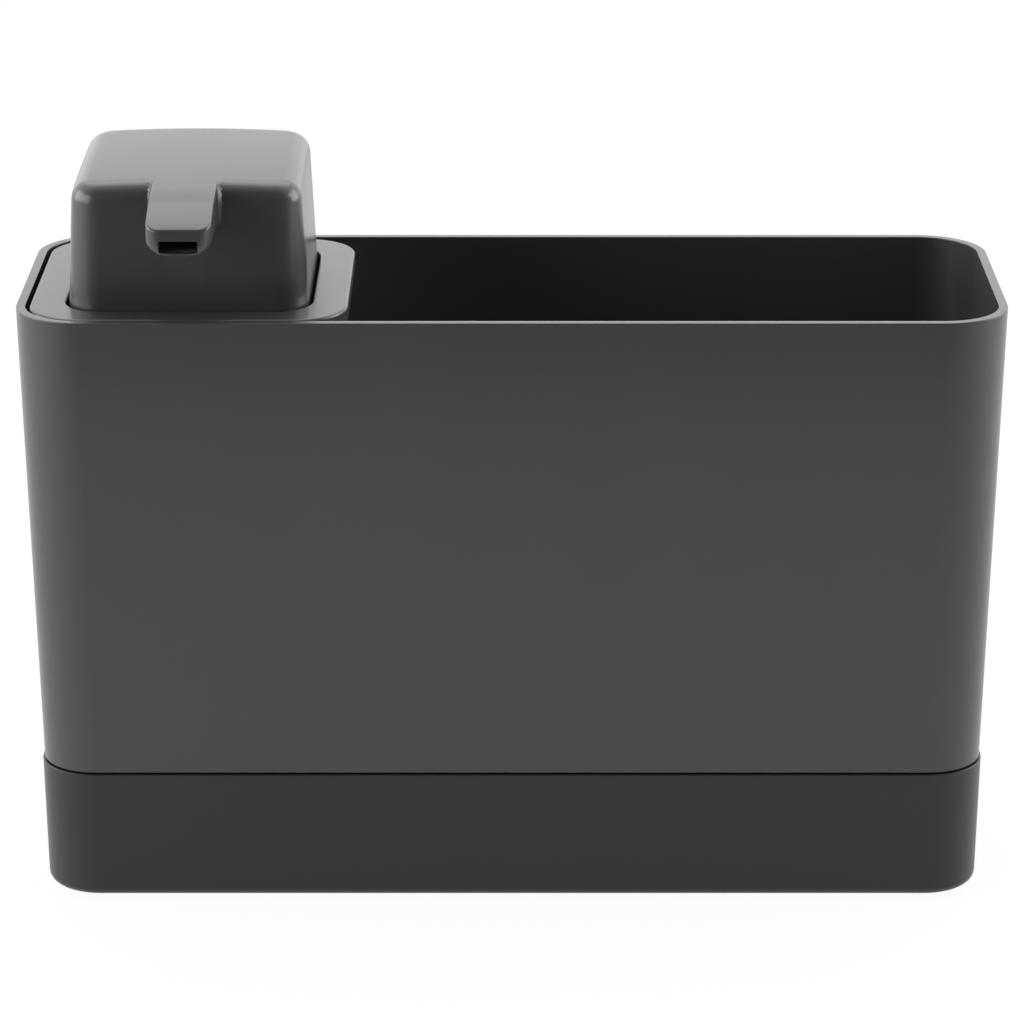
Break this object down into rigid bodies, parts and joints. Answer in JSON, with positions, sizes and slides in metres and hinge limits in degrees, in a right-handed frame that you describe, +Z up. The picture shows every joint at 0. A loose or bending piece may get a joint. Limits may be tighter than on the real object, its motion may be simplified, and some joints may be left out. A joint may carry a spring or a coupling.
{
  "type": "soap pump caddy",
  "caption": "Tapered sink caddy on a drip tray, with a lift-out soap dispenser worked by a square push cap with a spout lip, and an open bay for brushes and sponges.",
  "frame": {"origin": "on the table under the middle of the tray, in the plane of the non-slip pad", "axes": "+Z up; +X along the caddy, away from the dispenser; -Y towards the user, the way the spout points"},
  "size_m": [0.23, 0.0878, 0.1758],
  "materials": {
    "shell_plastic": "satin moulded, dark grey",
    "tray_plastic": "matt moulded, charcoal grey",
    "pad_rubber": "matt black",
    "tank_plastic": "frosted natural",
    "seal_silicone": "soft translucent grey",
    "pump_plastic": "natural moulded",
    "tube_plastic": "clear drawn tube",
    "inner_plastic": "matt moulded, black",
    "spring_steel": "bright drawn"
  },
  "bodies": {
    "tray": {"drip_tray": "tray_plastic", "base_pad": "pad_rubber"},
    "caddy": {"caddy_body": "shell_plastic"},
    "tank": {"soap_reservoir": "tank_plastic"},
    "lid": {"lid_plate": "shell_plastic", "lid_seal": "seal_silicone", "chamber_gasket": "seal_silicone", "pump_chamber": "pump_plastic", "stem_guide": "pump_plastic", "pump_collar": "inner_plastic", "ball_cage": "pump_plastic", "dip_tube": "tube_plastic", "return_spring": "spring_steel"},
    "head": {"pump_cap": "shell_plastic", "spout_channel": "inner_plastic", "piston_stem": "pump_plastic", "piston_seal": "seal_silicone", "ball_retainer": "pump_plastic"},
    "inlet_check": {"inlet_ball": "spring_steel"},
    "outlet_check": {"outlet_ball": "spring_steel"}
  },
  "joints": [
    {"name": "body_lift", "type": "slide", "parent": "tray", "child": "caddy", "axis": [0, 0, 1], "range_m": [0, 0.04]},
    {"name": "dispenser_lift", "type": "slide", "parent": "caddy", "child": "tank", "axis": [0, 0, 1], "range_m": [0, 0.135]},
    {"name": "lid_lift", "type": "slide", "parent": "tank", "child": "lid", "axis": [0, 0, 1], "range_m": [0, 0.125]},
    {"name": "pump_press", "type": "slide", "parent": "lid", "child": "head", "axis": [0, 0, -1], "range_m": [0, 0.012], "stiffness_N_per_m": 500, "springref_m": -0.004, "deforming": ["return_spring"]},
    {"name": "inlet_check_lift", "type": "slide", "parent": "lid", "child": "inlet_check", "axis": [0, 0, 1], "range_m": [0, 0.0015]},
    {"name": "outlet_check_lift", "type": "slide", "parent": "head", "child": "outlet_check", "axis": [0, 0, 1], "range_m": [0, 0.0012]}
  ]
}
